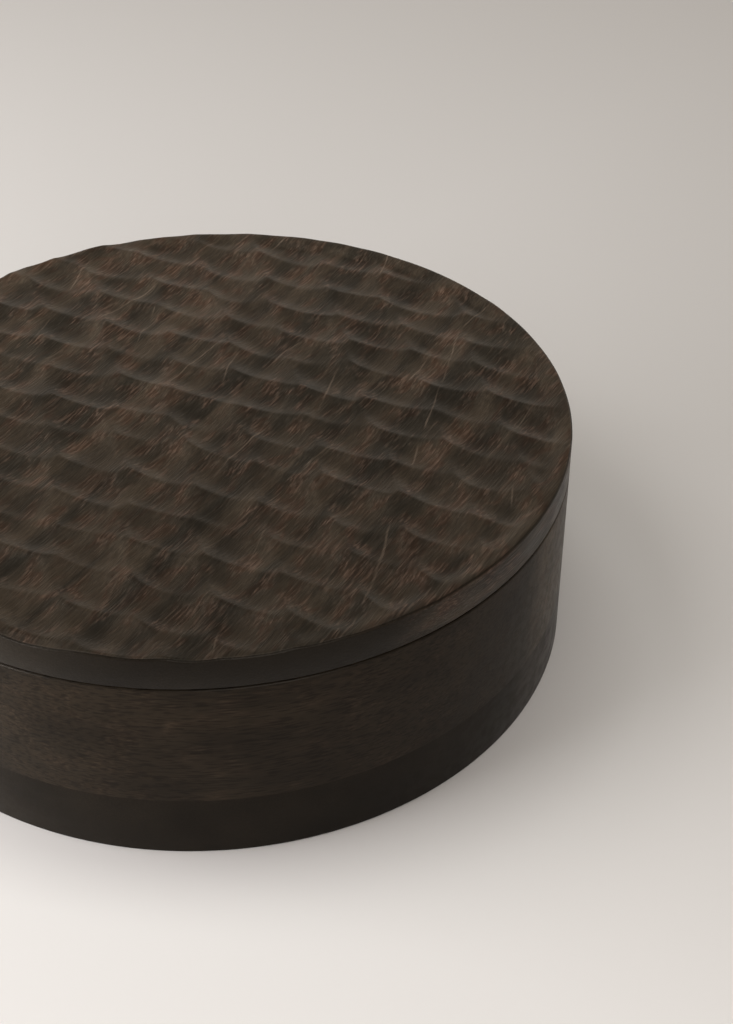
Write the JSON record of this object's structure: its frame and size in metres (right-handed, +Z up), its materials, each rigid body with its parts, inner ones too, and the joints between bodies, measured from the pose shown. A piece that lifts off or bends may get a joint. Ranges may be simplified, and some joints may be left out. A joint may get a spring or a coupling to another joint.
{
  "type": "round lidded wooden box",
  "caption": "Round turned wooden box with straight walls and a flat lift-off lid whose top is carved all over in staggered gouge scoops.",
  "frame": {"origin": "on the surface the box stands on, under the middle of the box", "axes": "+Z up, the way the lid lifts off; +X and +Y lie in the base, with the front of the picture at -Y"},
  "size_m": [0.25, 0.25, 0.0815],
  "materials": {
    "lid_wood": "dark stained hardwood, gouge carved, satin oil",
    "ring_wood": "dark stained hardwood, turned, satin oil",
    "wall_wood": "dark stained hardwood, turned and sanded, satin oil",
    "base_wood": "dark stained hardwood, turned and sanded, satin oil"
  },
  "bodies": {
    "box": {"base_board": "base_wood", "wall_ring": "wall_wood"},
    "lid": {"lid_board": "lid_wood", "lid_locating_ring": "ring_wood"}
  },
  "joints": [
    {"name": "lid_lift", "type": "slide", "parent": "box", "child": "lid", "axis": [0, 0, 1], "range_m": [0, 0.08]}
  ]
}
